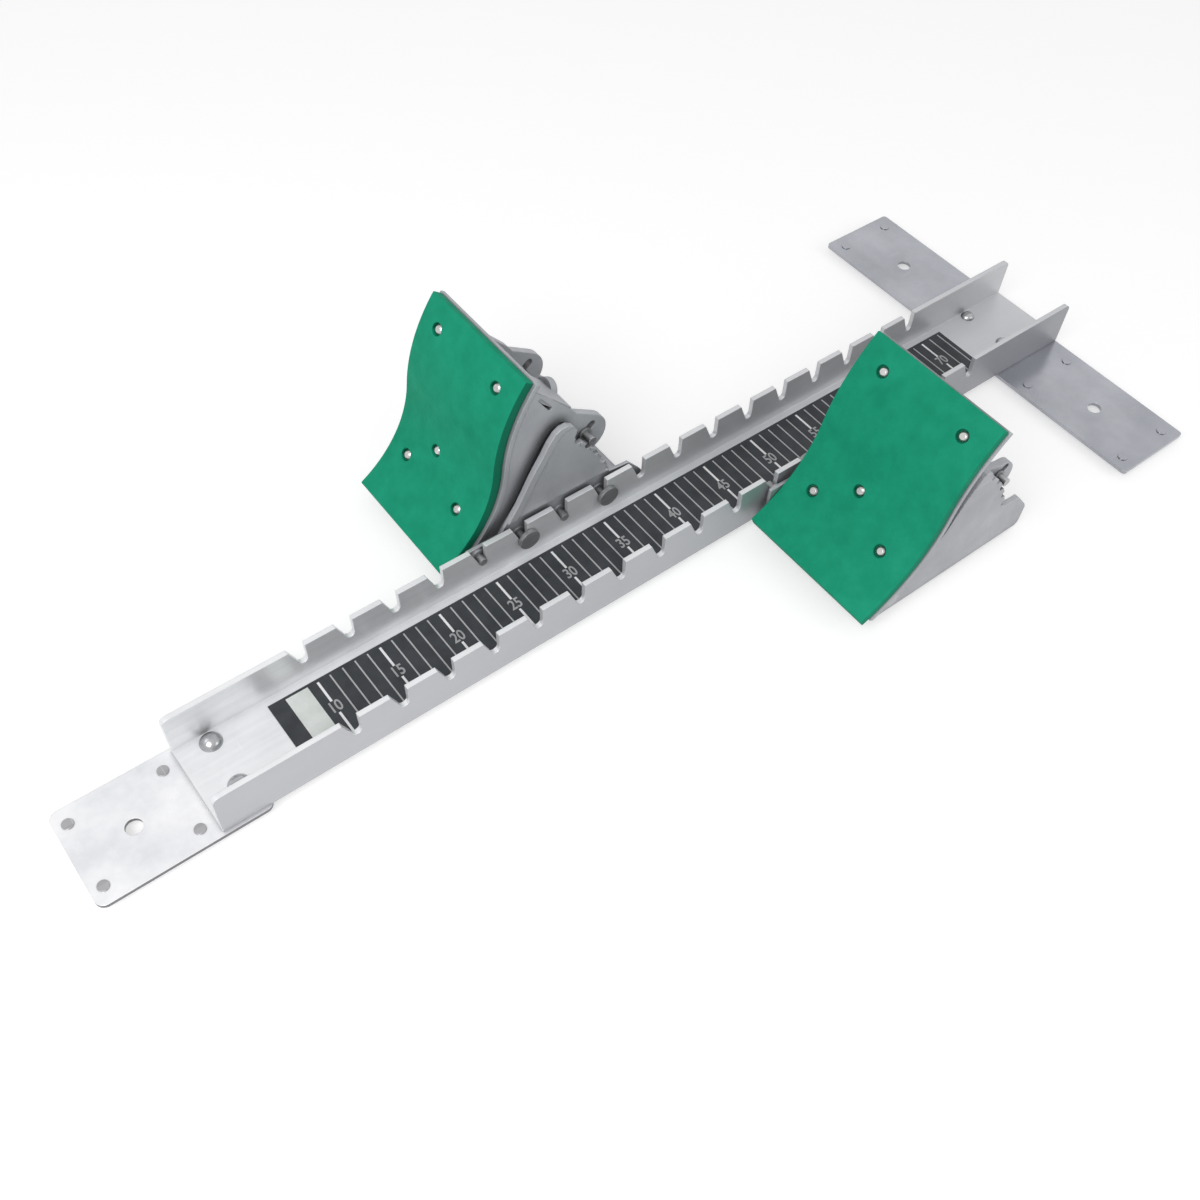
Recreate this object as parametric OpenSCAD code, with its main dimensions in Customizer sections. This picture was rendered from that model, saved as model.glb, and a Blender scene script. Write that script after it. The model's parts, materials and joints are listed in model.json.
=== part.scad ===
// Starting blocks for a running track: a notched channel rail on two spiked
// ground plates, with a tilting pedal hooked on the outside of each flange.
// +X is the way the runner leaves, +Y is the runner's left, +Z is up.
// Z = 0 is the tips of the spikes, and X = 0 is half way along the whole length.

/* [Rail] */
// Length of the channel rail
rail_len = 814; // [780:2:860]
// Width over the two flanges
rail_w = 74; // [70:0.5:80]
// Height of the flanges from the underside of the floor
rail_h = 40; // [36:0.5:46]
// Thickness of each flange
flange_t = 4; // [3:0.5:5]
// Thickness of the channel floor
floor_t = 5; // [3.5:0.5:6]
// Radius of the flanges' upper end corners
flange_corner = 5; // [2:0.5:10]

/* [Notches] */
// Distance from one notch to the next
notch_pitch = 36.8; // [34:0.1:38]
// Number of notches in each flange
notch_count = 17; // [12:1:18]
// Distance from the rail's front end to the first notch's rear edge
notch_start = 105.2; // [95:0.2:115]
// Width of a notch's mouth
notch_mouth = 12.9; // [11:0.1:15]
// Radius of a notch's seat
notch_seat = 3.5; // [3.4:0.1:4]
// Depth of the seat's centre below the flange's top
notch_drop = 14.5; // [12:0.5:18]

/* [Scale strip] */
// Width of the strip
strip_w = 53.5; // [48:0.5:60]
// Thickness of the strip
strip_t = 0.6; // [0.4:0.1:1]
// Distance from the rail's front end to the strip
strip_start = 67.5; // [60:0.5:80]
// Distance from the rail's rear end to the strip
strip_back = 84.5; // [70:0.5:110]

/* [Ground plates] */
// Thickness of both plates
plate_t = 3; // [2:0.5:5]
// Reach of the front plate beyond the rail
front_reach = 86; // [70:1:110]
// Length of the front plate hidden under the rail
front_lap = 37; // [28:1:45]
// Width of the front plate
front_w = 79; // [76:1:95]
// Radius of the front plate's outer corners
front_corner = 7; // [3:0.5:12]
// Width of the rear plate along the rail
rear_w = 76; // [70:1:90]
// Length of the rear plate across the rail
rear_len = 353; // [330:1:400]
// Radius of the rear plate's corners
rear_corner = 3; // [1:0.5:8]
// Distance from the rail's rear end to the rear plate's edge
rear_inset = 1; // [0.5:0.5:6]
// Radius of the front stake hole
front_stake_r = 6; // [5:0.5:8]
// Distance of the front stake hole from the plate's front edge
front_stake_x = 42; // [35:1:50]
// Radius of the two rear stake holes
rear_stake_r = 6; // [5:0.5:8]
// Distance of a rear stake hole from the rail's centre line
rear_stake_y = 113; // [100:1:125]

/* [Spikes and rivets] */
// Length of a spike below its plate
spike_len = 6; // [4:0.5:9]
// Radius of a spike's shank
spike_r = 2.5; // [2:0.1:3]
// Radius of a spike's flat head
spike_head_r = 4; // [3.4:0.1:5]
// Height of a spike's head above its plate
spike_head_t = 0.8; // [0.4:0.1:1.5]
// Distance between the front spikes across the plate
front_spike_y = 52.6; // [48:0.2:60]
// Distance between the front spikes along the plate
front_spike_x = 66; // [50:1:70]
// Distance from the front plate's edge to the first pair of spikes
front_spike_edge = 9; // [7:0.5:12]
// Distance between the rear spikes along the rail
rear_spike_x = 51; // [40:1:60]
// Distance of the inner rear spikes from the centre line
rear_spike_in = 61; // [52:1:75]
// Distance of the outer rear spikes from the plate's ends
rear_spike_edge = 12.5; // [9:0.5:20]
// Radius of a rivet's domed head
rivet_head_r = 8; // [6:0.5:9]
// Height of a rivet's domed head
rivet_head_h = 5.5; // [3:0.5:7]
// Radius of a rivet's shank
rivet_r = 4; // [3:0.5:5]
// Radius of a rear rivet's domed head
rear_head_r = 6; // [5:0.5:7]
// Distance of the right front rivet from the rail's centre line
right_rivet_y = 24.5; // [20:0.5:24.5]
// Distance of the left rivets from the rail's centre line
left_rivet_y = 15; // [12:0.5:20]
// Distance from the rail's front end to the front rivets
front_rivet_x = 24; // [15:0.5:26]
// Distance from the rail's rear end to the rear rivets
rear_rivet_x = 48; // [40:1:60]

/* [Pad and its curve] */
// Height of the rubber pad along its chord
pad_len = 170; // [160:1:180]
// Distance of both pads' outer edges from the rail's centre line
pad_outer_y = 163.5; // [161.5:0.5:166]
// Distance of the right pad's inner edge from the rail's centre line
right_pad_inner = 51; // [50:0.5:54]
// Distance of the left pad's inner edge from the rail's centre line
left_pad_inner = 43; // [43:0.5:48]
// Thickness of the pad
pad_t = 8; // [5:0.5:10]
// Slope of the pad's lower edge against its chord
flare_angle = 32; // [28:1:34]
// Slope where the hollow turns into the crest
ogee_angle = 22; // [20:1:24]
// Slope of the pad's upper edge against its chord
crest_angle = 10.5; // [8:0.5:12]

/* [Pedal castings] */
// Distance of the tilting axis behind the pad's chord
pivot_back = 30.5; // [30:0.5:34]
// Distance of the tilting axis above the pad's lower edge
pivot_up = 17; // [15:0.5:19]
// Height of the tilting axis above the base's underside
pivot_h = 13; // [12:0.5:15]
// Thickness of the foot plate's skin
skin_t = 4; // [3:0.5:5]
// Reach of the skin beyond the pad's upper and outer edges
skin_lip = 1.2; // [0.6:0.2:2]
// Thickness of an arm of the foot plate
arm_t = 6; // [5:0.5:7]
// Thickness of a side plate of the base
side_t = 4.5; // [4:0.5:4.5]
// Height of the raised rim on an inner side plate
rim_t = 1; // [0.5:0.25:1.5]
// Distance of the base's outer face from the rail's centre line
base_outer_y = 160; // [156:0.5:161]
// Distance of the base's rear face behind the tilting axis
base_back = 145; // [142:1:150]
// Thickness of the base's floor
base_floor_t = 4; // [3:0.5:5]
// Distance of the rib on the base's floor behind the tilting axis
base_rib = 78; // [70:1:85]

/* [Tilt and lock] */
// Lock notch that holds the right pedal, counted from the lowest
right_lock = 4; // [3:1:4]
// Lock notch that holds the left pedal, counted from the lowest
left_lock = 3; // [3:1:4]
// Angle of the lowest lock notch above the ground, seen from the tilting axis
tooth_low = 18; // [17:0.5:19]
// Angle between two neighbouring lock notches
tooth_step = 7; // [6.5:0.25:7.5]
// Radius of the notched edge about the tilting axis
tooth_r = 115; // [112:0.5:118]
// Number of lock notches in a side plate
tooth_count = 5; // [4:1:5]
// Radius of the lock bar
bar_r = 3.3; // [2.8:0.1:3.5]
// Room round the lock bar in a lock notch
bar_room = 0.3; // [0.25:0.05:0.5]
// Radius of the ears that carry the lock bar
ear_r = 18; // [16:0.5:19]
// Angle of the lock bar behind the pad's chord, seen from the tilting axis
bar_angle = 24; // [23.5:0.25:24.5]
// Radius of the hinge pin
hinge_r = 4; // [3.5:0.1:4.5]
// Notch that takes the right base's front stud, counted from the front
right_notch = 4; // [2:1:6]
// Notch that takes the left base's front stud, counted from the front
left_notch = 10; // [8:1:12]

/* [Hidden] */
$fn = 64;
// Running clearance of a pin or stud in its hole
fit = 0.05;
// Clearance between neighbouring faces of separate bodies
gap = 0.3;
// Overlap that makes a cut go right through
cut = 1;

// Heights and ends of the frame
plate_z = spike_len;
rail_z = plate_z + plate_t;
floor_z = rail_z + floor_t;
flange_z = rail_z + rail_h;
total_len = rail_len + front_reach;
rail_back = -total_len / 2;
rail_front = rail_back + rail_len;
front_edge = total_len / 2;
flange_out = rail_w / 2;
flange_in = flange_out - flange_t;
rear_x = rail_back + rear_inset + rear_w / 2;
first_notch = rail_front - notch_start;
// Offset of a notch's seat from its rear edge
seat_x = notch_seat - 0.5;
seat_z = flange_z - notch_drop;

// Curve of the pad: a hollow arc below, a crest arc above, tangent where they meet
crest_ratio = (cos(ogee_angle) - cos(flare_angle)) / (cos(crest_angle) - cos(ogee_angle));
hollow_span = sin(flare_angle) + sin(ogee_angle);
crest_span = sin(ogee_angle) + sin(crest_angle);
hollow_r = pad_len / (hollow_span + crest_ratio * crest_span);
crest_r = hollow_r * crest_ratio;
hollow_top = hollow_r * hollow_span;
hollow_c = [pivot_back + hollow_r * cos(flare_angle), hollow_r * sin(flare_angle) - pivot_up];
crest_c = [pivot_back - crest_r * cos(crest_angle), pad_len - crest_r * sin(crest_angle) - pivot_up];
// Upper edge of the pad, measured from the tilting axis along the chord
top_z = pad_len - pivot_up;

// Places of the pedals
side_in = flange_out + 1.2;
side_in_back = side_in + side_t;
side_out_back = base_outer_y - side_t;
pivot_z = plate_z + pivot_h;
// The front stud stands this far ahead of the tilting axis
stud_lead = 9.5;
right_x = first_notch + seat_x - right_notch * notch_pitch - stud_lead;
left_x = first_notch + seat_x - left_notch * notch_pitch - stud_lead;

// The lock bar rides just clear of the notched edge, and drops into a notch from there
bar_ride_r = tooth_r + bar_r + gap;
bar_lift = 8;
tooth_high = tooth_low + (tooth_count - 1) * tooth_step;
right_tilt = tooth_low + (right_lock - 1) * tooth_step + bar_angle;
left_tilt = tooth_low + (left_lock - 1) * tooth_step + bar_angle;
boss_r = hinge_r + 4.6;

// Arms of the foot plate, from the inner one to the far one
arm_in = side_in_back + 6;
left_far_arm = side_out_back - 5 - arm_t;
right_far_arm = side_out_back - 22.5 - arm_t;
// Inner edges of the two skins, and how far a skin stays above its pad's lower edge
right_skin_inner = arm_in - 0.4;
left_skin_inner = side_in_back + 0.5;
skin_lift = 1.5;

// Solid part of the base's floor beside its opening
floor_edge = 18;

// Studs that hang a base in the rail's notches
stud_r = notch_seat - gap;
stud_count = 4;
stud_z = seat_z - pivot_z;
keeper_r = 8.5;
keeper_t = 2.5;

// Screws of the pad
screw_r = 2.5;
screw_head_r = 4;
screw_head_h = 2.4;
screw_sink = 3.5;
screw_len = 16;
// Heights of the lower row, the single screw and the upper row along the chord
right_rows = [40, 63, pad_len - 19.5];
left_rows = [44, 67.5, pad_len - 20.5];
// How far these stand outward of the pad's middle
right_shift = [3, 10, 1.2];
left_shift = [-2.5, -7, 0];
// Half the distance between the two screws of the lower and the upper row, as shares of the pad's width
row_share = [0.2975, 0.3185];

// Point on the pad's front face, moved back by off, where the face slopes by t
function hollow_point(t, off) = hollow_c + (hollow_r + off) * [-cos(t), sin(t)];
function crest_point(t, off) = crest_c + (crest_r - off) * [cos(t), -sin(t)];
function hollow_points(off) = [for (i = [0:27]) hollow_point(lerp(-flare_angle, ogee_angle, i / 27), off)];
function crest_points(off) = [for (i = [1:16]) crest_point(lerp(ogee_angle, -crest_angle, i / 16), off)];
function face_points(off) = concat(hollow_points(off), crest_points(off));
function reversed(list) = [for (i = [len(list) - 1:-1:0]) list[i]];
function lerp(a, b, k) = a + (b - a) * k;
// Slope and place of the front face at height s along the chord
function slope(s) = s < hollow_top ? asin(s / hollow_r - sin(flare_angle))
                                   : asin(sin(ogee_angle) - (s - hollow_top) / crest_r);
function face(s) = s < hollow_top ? hollow_point(slope(s), 0) : crest_point(slope(s), 0);
// Middle of the skin at height s along the chord
function skin_mid(s) = s < hollow_top ? hollow_point(slope(s), pad_t + skin_t / 2)
                                      : crest_point(slope(s), pad_t + skin_t / 2);
// Point at a radius and an angle above the ground behind the tilting axis
function behind(r, a) = [-r * cos(a), r * sin(a)];
// Point behind the pad's chord on the line from the tilting axis through the lock bar
function bar_line(r) = [-r * sin(bar_angle), r * cos(bar_angle)];

// Screw places as [height along the chord, distance from the rail's middle]
function screw_places(inner, rows, shift) = let (wide = pad_outer_y - inner, mid = inner + wide / 2) [
    for (s = [-1, 1]) [rows[0], mid + shift[0] + s * row_share[0] * wide],
    [rows[1], mid + shift[1]],
    for (s = [-1, 1]) [rows[2], mid + shift[2] + s * row_share[1] * wide]];
right_screws = screw_places(right_pad_inner, right_rows, right_shift);
left_screws = screw_places(left_pad_inner, left_rows, left_shift);

// A flat outline in X and Z, drawn between two distances from the rail's middle
module wall(y0, y1) {
    translate([0, y1, 0]) rotate([90, 0, 0]) linear_extrude(y1 - y0) children();
}

// A pin along Y
module cross_pin(r, y0, y1) {
    wall(y0, y1) circle(r);
}

// Puts a pedal's piece on its side of the rail
module on_side(x, side) {
    translate([x, 0, pivot_z]) mirror([0, side > 0 ? 0 : 1, 0]) children();
}

// Turns a piece drawn with its chord upright to the pad's tilt
module tilted(tilt) {
    rotate([0, tilt - 90, 0]) children();
}

module rounded_plate(x0, x1, y, r) {
    union() {
        translate([x0 + r, -y / 2]) square([x1 - x0 - 2 * r, y]);
        translate([x0, -y / 2 + r]) square([x1 - x0, y - 2 * r]);
        for (x = [x0 + r, x1 - r], s = [-1, 1]) translate([x, s * (y / 2 - r)]) circle(r);
    }
}

// One notch, seen from the side, with its rear edge at X = 0 and its top at Z = 0
module notch_shape() {
    seat_c = [seat_x, -notch_drop];
    union() {
        translate(seat_c) circle(notch_seat);
        polygon([[seat_x - notch_seat, -notch_drop], [seat_x + notch_seat, -notch_drop],
                 [notch_mouth, 0], [notch_mouth, cut], [0, cut], [0, 0]]);
    }
}

module flange_shape() {
    r = flange_corner;
    difference() {
        union() {
            translate([rail_back, rail_z]) square([rail_len, rail_h - r]);
            translate([rail_back + r, rail_z]) square([rail_len - 2 * r, rail_h]);
            for (x = [rail_back + r, rail_front - r]) translate([x, flange_z - r]) circle(r);
        }
        for (n = [0:notch_count - 1]) translate([first_notch - n * notch_pitch, flange_z]) notch_shape();
    }
}

module rail() color("silver") {
    difference() {
        union() {
            wall(-flange_out, -flange_in) flange_shape();
            wall(flange_in, flange_out) flange_shape();
            translate([rail_back, -flange_out, rail_z]) cube([rail_len, rail_w, floor_t]);
        }
        for (p = rivet_places()) translate([p[0], p[1], rail_z - cut])
            cylinder(r = rivet_r + fit, h = floor_t + 2 * cut);
    }
}

// The rivets stand unevenly: the right ones close to their flange, the left ones further in
function rivet_side(r) = rail_w / 2 - flange_t - r - 0.3;
function rivet_places() = [
    [rail_front - front_rivet_x, -min(right_rivet_y, rivet_side(rivet_head_r))],
    [rail_front - front_rivet_x, left_rivet_y],
    [rail_back + rear_rivet_x, -min(right_rivet_y + rivet_head_r - rear_head_r, rivet_side(rear_head_r))],
    [rail_back + rear_rivet_x, left_rivet_y]];
function front_spike_places() = [for (k = [0, 1], s = [-1, 1])
    [front_edge - front_spike_edge - k * front_spike_x, s * front_spike_y / 2]];
function rear_spike_places() = [for (k = [-1, 1], s = [-1, 1],
                                    y = [rear_spike_in, rear_len / 2 - rear_spike_edge])
    [rear_x + k * rear_spike_x / 2, s * y]];

module scale_strip() color("dimgray") {
    translate([rail_back + strip_back, -strip_w / 2, floor_z])
        cube([rail_len - strip_start - strip_back, strip_w, strip_t]);
}

module plate_holes(places, r) {
    for (p = places) translate([p[0], p[1], plate_z - cut]) cylinder(r = r, h = plate_t + 2 * cut);
}

module front_plate() color("gainsboro") {
    difference() {
        translate([0, 0, plate_z]) linear_extrude(plate_t)
            rounded_plate(rail_front - front_lap, front_edge, front_w, front_corner);
        plate_holes([[front_edge - front_stake_x, 0]], front_stake_r);
        plate_holes(front_spike_places(), spike_r + fit);
        plate_holes([for (i = [0, 1]) rivet_places()[i]], rivet_r + fit);
    }
}

module rear_plate() color("lightgray") {
    difference() {
        translate([0, 0, plate_z]) linear_extrude(plate_t)
            rounded_plate(rear_x - rear_w / 2, rear_x + rear_w / 2, rear_len, rear_corner);
        plate_holes([for (s = [-1, 1]) [rear_x, s * rear_stake_y]], rear_stake_r);
        plate_holes(rear_spike_places(), spike_r + fit);
        plate_holes([for (i = [2, 3]) rivet_places()[i]], rivet_r + fit);
    }
}

// A short track spike: flat head on the plate, shank through it, blunt cone below
module spike() {
    tip_r = 0.6;
    cone = spike_len * 0.7;
    rotate_extrude() polygon([
        [0, 0], [tip_r, 0], [spike_r, cone], [spike_r, rail_z],
        [spike_head_r, rail_z], [spike_head_r, rail_z + spike_head_t], [0, rail_z + spike_head_t]]);
}

module front_spikes() color("gray") {
    for (p = front_spike_places()) translate([p[0], p[1], 0]) spike();
}

module rear_spikes() color("gray") {
    for (p = rear_spike_places()) translate([p[0], p[1], 0]) spike();
}

// A domed rivet from the channel floor down through the plate
module rivet(r) {
    h = rivet_head_h * r / rivet_head_r;
    ball_r = (pow(r, 2) + pow(h, 2)) / (2 * h);
    union() {
        translate([0, 0, plate_z]) cylinder(r = rivet_r, h = floor_z - plate_z);
        intersection() {
            translate([0, 0, floor_z + h - ball_r]) sphere(ball_r);
            translate([0, 0, floor_z]) cylinder(r = r + cut, h = h + cut);
        }
    }
}

module front_rivets() color("silver") {
    for (i = [0, 1]) translate([rivet_places()[i][0], rivet_places()[i][1], 0]) rivet(rivet_head_r);
}

module rear_rivets() color("silver") {
    for (i = [2, 3]) translate([rivet_places()[i][0], rivet_places()[i][1], 0]) rivet(rear_head_r);
}

// Front edge and top lobe of the two side plates, from the lock notches to the toe,
// as drawn for a notched edge of radius lobe_r with its uppermost notch at lobe_angle
lobe_r = 115;
lobe_angle = 46;
inner_lobe = [[-78.5, 93.5], [-74.5, 100], [-69, 103.8], [-63.5, 103.8], [-58.5, 101], [-53, 94],
    [-47.5, 84], [-42, 75.5], [-36.5, 66], [-31, 55], [-25.5, 45], [-15, 29], [-5, 10]];
outer_lobe = [[-74, 90.5], [-71, 92.5], [-67.5, 92.5], [-64, 90.5], [-61, 86], [-54, 74],
    [-49, 63], [-42.5, 47.5], [-30, 31.5], [-14.5, 18], [-5, 7]];

function drawn(list) = [for (p = list) p * tooth_r / lobe_r];

// Side of the base, with its tilting axis at the origin
module side_shape(lobe) {
    arc_low = tooth_low - 3;
    arc_high = tooth_high + 2.5;
    difference() {
        union() {
            polygon(concat(
                [[-8, -pivot_h], [3 - base_back, -pivot_h], [-base_back, 3 - pivot_h], [-base_back - 0.5, 7],
                 [-base_back + 2, 12], [15 - base_back, 27.5], [22 - base_back, 28]],
                [for (i = [0:12]) behind(tooth_r, lerp(arc_low, arc_high, i / 12))],
                [for (p = drawn(lobe)) behind(norm(p), atan2(p[1], -p[0]) + tooth_high - lobe_angle)]));
            circle(boss_r);
            translate([-20, -pivot_h]) square([20 + boss_r, pivot_h]);
            // Low nose ahead of the axis
            polygon([[0, -pivot_h], [boss_r + 8, -pivot_h], [boss_r + 8, 4 - pivot_h],
                     [boss_r, 8 - pivot_h], [0, 8 - pivot_h]]);
        }
        for (i = [0:tooth_count - 1])
            translate(behind(tooth_r, tooth_low + i * tooth_step)) circle(bar_r + bar_room);
    }
}

// Part of a side plate's face that lies lower than its raised rim
module sunk_shape(lobe) {
    difference() {
        translate([-5, -4.5]) side_shape(lobe);
        translate([-base_back - 10, -pivot_h - 10]) square([base_back + 40, 15]);
        circle(boss_r + 1);
    }
}

// Strip of the inner side plate that carries the studs
module stud_strip_shape() {
    top = stud_z + stud_r + 4;
    back = stud_lead - (stud_count - 1) * notch_pitch - 8;
    translate([back, -pivot_h]) square([stud_lead + 8 - back, pivot_h + top]);
}

module stud_holes() {
    for (i = [0:stud_count - 1]) translate([stud_lead - i * notch_pitch, 0, stud_z])
        cross_pin(stud_r + fit, side_in - cut, side_in_back + cut);
}

// Cross wall along the rear of the base
module back_wall_shape() {
    polygon([[3 - base_back, -pivot_h], [16 - base_back, 10],
             [21 - base_back, 10], [9 - base_back, -pivot_h]]);
}

// The inner side plate stands back from the flange below the flange's top
module relief_shape() {
    difference() {
        translate([-base_back - 5, -pivot_h - cut]) square([base_back + 40, flange_z - plate_z + 3.5]);
        for (i = [0:stud_count - 1]) translate([stud_lead - i * notch_pitch, stud_z]) circle(stud_r + 3);
        circle(hinge_r + 2.5);
    }
}

module base() {
    difference() {
        union() {
            wall(side_in, side_in_back) side_shape(inner_lobe);
            wall(side_in, side_in_back) stud_strip_shape();
            wall(side_out_back, base_outer_y) side_shape(outer_lobe);
            wall(side_in_back - cut, side_out_back + cut) back_wall_shape();
            translate([3 - base_back, side_in_back - cut, -pivot_h])
                cube([base_back - 20, side_out_back - side_in_back + 2 * cut, base_floor_t]);
            // Rib across the floor
            translate([-base_rib, side_in_back - cut, -pivot_h])
                cube([5, side_out_back - side_in_back + 2 * cut, base_floor_t + 8]);
        }
        // The inner face is sunk inside its rim
        wall(side_in - cut, side_in + rim_t) sunk_shape(inner_lobe);
        wall(side_in - cut, side_in + 1.8) relief_shape();
        cross_pin(hinge_r + fit, side_in - cut, base_outer_y + cut);
        stud_holes();
        // Opening in the floor behind the rib
        translate([20 - base_back, side_in_back + floor_edge, -pivot_h - cut])
            cube([base_back - base_rib - 29, side_out_back - side_in_back - 2 * floor_edge,
                  base_floor_t + 2 * cut]);
    }
}

module studs() {
    for (i = [0:stud_count - 1]) translate([stud_lead - i * notch_pitch, 0, stud_z]) union() {
        cross_pin(stud_r, flange_in - 1.5, side_in_back);
        // Every second stud has a keeper behind the flange, hung low and to the rear
        if (i % 2 == 1) translate([-3, 0, -0.5])
            cross_pin(keeper_r, flange_in - 1.5 - keeper_t, flange_in - 0.8);
    }
}

// Foot plate and pad are drawn with the chord upright and the axis at the origin
module skin_shape() {
    end = crest_angle + skin_lip / crest_r * 180 / PI;
    difference() {
        polygon(concat(face_points(pad_t), [crest_point(-end, pad_t)],
                       [crest_point(-end, pad_t + skin_t)], reversed(face_points(pad_t + skin_t))));
        translate([0, -pivot_up - 20]) square([80, 20 + skin_lift]);
    }
}

// Arm with an ear of radius r, a rear edge that goes round the base's lobe, and a top edge
module arm_shape(ear, r, back, top) {
    difference() {
        union() {
            circle(boss_r);
            translate(ear) circle(r);
            // Wall behind the skin, from the boss up to the ear
            intersection() {
                polygon(concat(
                    drawn(concat([[-6, 4]], back)),
                    [ear - [0, r * 0.6], ear + [-2, r]], top,
                    [for (p = reversed(face_points(pad_t + skin_t / 2)))
                        if (p[1] < top[len(top) - 1][1]) p]));
                translate([-tooth_r, -8]) square([tooth_r + pivot_back, pad_len]);
            }
        }
        // Slot that guides the lock bar
        bar_slot();
    }
}

// Slit under the cross web
module slit_shape() {
    translate([0, top_z]) union() {
        translate([12, -14]) circle(1.2);
        translate([-1, -21]) circle(1.6);
        polygon([[11.4, -12.9], [-1.8, -19.6], [-0.2, -22.4], [12.6, -15.1]]);
    }
}

// Rear edges of the arms, drawn for lobe_r: round the base's lobe, and the plain one behind it
high_back = [[-6.5, 30], [-8, 45], [-8.5, 60], [-8.5, 85], [-9, 98], [-10.5, 108], [-13, 115],
    [-17, 119], [-21, 119.5], [-24.5, 117], [-27, 108], [-32, 98]];
low_back = [[0, 35], [2, 60], [2, 80], [0, 88], [-5, 93], [-12, 94], [-20, 93], [-32, 88]];
plain_back = [[-10, 24], [-15, 50], [-18, 70], [-26, 84]];

module high_arm_shape(back) {
    difference() {
        arm_shape(bar_line(tooth_r) + [-4.8, 1], ear_r, back,
            [[-30, top_z - 26.5], [-23.6, top_z - 23], [0, top_z - 14], skin_mid(pad_len - 5) - [2, 1]]);
        slit_shape();
    }
}

module low_arm_shape(back) {
    arm_shape(bar_line(tooth_r) + [-6.2, -1.5], ear_r - 1, back,
        [bar_line(tooth_r) + [10.8, 10.2], bar_line(tooth_r) + [27.8, 3.9], skin_mid(pad_len - 50)]);
}

module bar_slot() {
    rotate(bar_angle) {
        for (r = [tooth_r - 0.1, bar_ride_r + bar_lift + 0.1]) translate([0, r]) circle(bar_r + 2 * fit);
        translate([-bar_r - 2 * fit, tooth_r - 0.1])
            square([2 * (bar_r + 2 * fit), bar_ride_r - tooth_r + bar_lift + 0.2]);
    }
}

// Ledge on top of the inner arm, and the rib that joins the arms behind the skin
module ledge_shape() {
    polygon([skin_mid(pad_len - 5), [-23, top_z - 21.5], [-24.5, top_z - 26], [-22, top_z - 27],
             skin_mid(pad_len - 12)]);
}

module rib_shape() {
    polygon([skin_mid(pad_len - 54), [0, top_z - 58], [0, top_z - 63], skin_mid(pad_len - 60)]);
}

module foot_plate(skin_inner, far_arm, low, screws) {
    // An arm is thinner where it goes on behind the base's side plate
    thin = arm_t / 2;
    difference() {
        union() {
            wall(skin_inner, pad_outer_y + skin_lip) skin_shape();
            wall(arm_in, arm_in + thin + cut) high_arm_shape(high_back);
            wall(arm_in + thin, arm_in + arm_t) high_arm_shape(plain_back);
            wall(far_arm + thin - cut, far_arm + arm_t)
                if (low) low_arm_shape(low_back); else high_arm_shape(high_back);
            wall(far_arm, far_arm + thin) if (low) low_arm_shape(plain_back); else high_arm_shape(plain_back);
            wall(arm_in + cut, far_arm + cut) rib_shape();
            wall(arm_in + cut, arm_in + 31) ledge_shape();
            // Thumb lug on the ledge
            translate([-20.5, arm_in + 27, top_z - 25]) rotate([0, -90, 0])
                linear_extrude(6, center = true) union() {
                    circle(9.5);
                    translate([-2, -12]) square([4, 24]);
                }
            for (p = screws) at_screw(p)
                translate([0, 0, -pad_t - skin_t - 4]) cylinder(r = 5, h = 6);
            // Hinge tube between the arms
            cross_pin(boss_r - 1.2, arm_in + cut, far_arm + cut);
        }
        cross_pin(hinge_r + fit, arm_in - cut, far_arm + arm_t + cut);
    }
}

module pad(inner) {
    wall(inner, pad_outer_y)
        polygon(concat(face_points(0), reversed(face_points(pad_t))));
}

// Sets a piece drawn along +Z on the pad's front face, pointing out of it
module at_screw(p) {
    f = face(p[0]);
    translate([f[0], p[1], f[1]]) rotate([0, 90 + slope(p[0]), 0]) children();
}

module screw() {
    union() {
        translate([0, 0, -screw_sink]) rotate_extrude() polygon([
            [0, 0], [screw_head_r, 0], [screw_head_r, screw_head_h * 0.5],
            [screw_head_r * 0.6, screw_head_h], [0, screw_head_h]]);
        translate([0, 0, -screw_len]) cylinder(r = screw_r, h = screw_len - screw_sink + 0.1);
    }
}

module screw_recess() {
    translate([0, 0, -screw_sink]) cylinder(r = screw_head_r + 1, h = screw_sink + cut);
    translate([0, 0, -screw_len - 2]) cylinder(r = screw_r + fit, h = screw_len);
}

module drilled(screws) {
    difference() {
        children();
        for (p = screws) at_screw(p) screw_recess();
    }
}

module ring(r, wall_r, y0, y1) {
    difference() {
        cross_pin(r + wall_r, y0, y1);
        cross_pin(r + fit, y0 - cut, y1 + cut);
    }
}

module hinge_pin() {
    union() {
        cross_pin(hinge_r, side_in + 0.2, base_outer_y + 0.5);
        cross_pin(hinge_r + 2.5, base_outer_y, base_outer_y + 1.5);
    }
}

module lock_bar() {
    cross_pin(bar_r, side_in + 0.3, base_outer_y - 0.3);
}

// Rings that keep the bar between the two arms
module bar_rings(far_arm) {
    ring(bar_r, 2, arm_in - 1.9, arm_in - 0.4);
    ring(bar_r, 2, far_arm + arm_t + 0.4, far_arm + arm_t + 1.9);
}

// Carries a lock piece at its riding place behind the pad
module at_bar(tilt) {
    tilted(tilt) translate([-bar_ride_r * sin(bar_angle), 0, bar_ride_r * cos(bar_angle)]) children();
}

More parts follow.
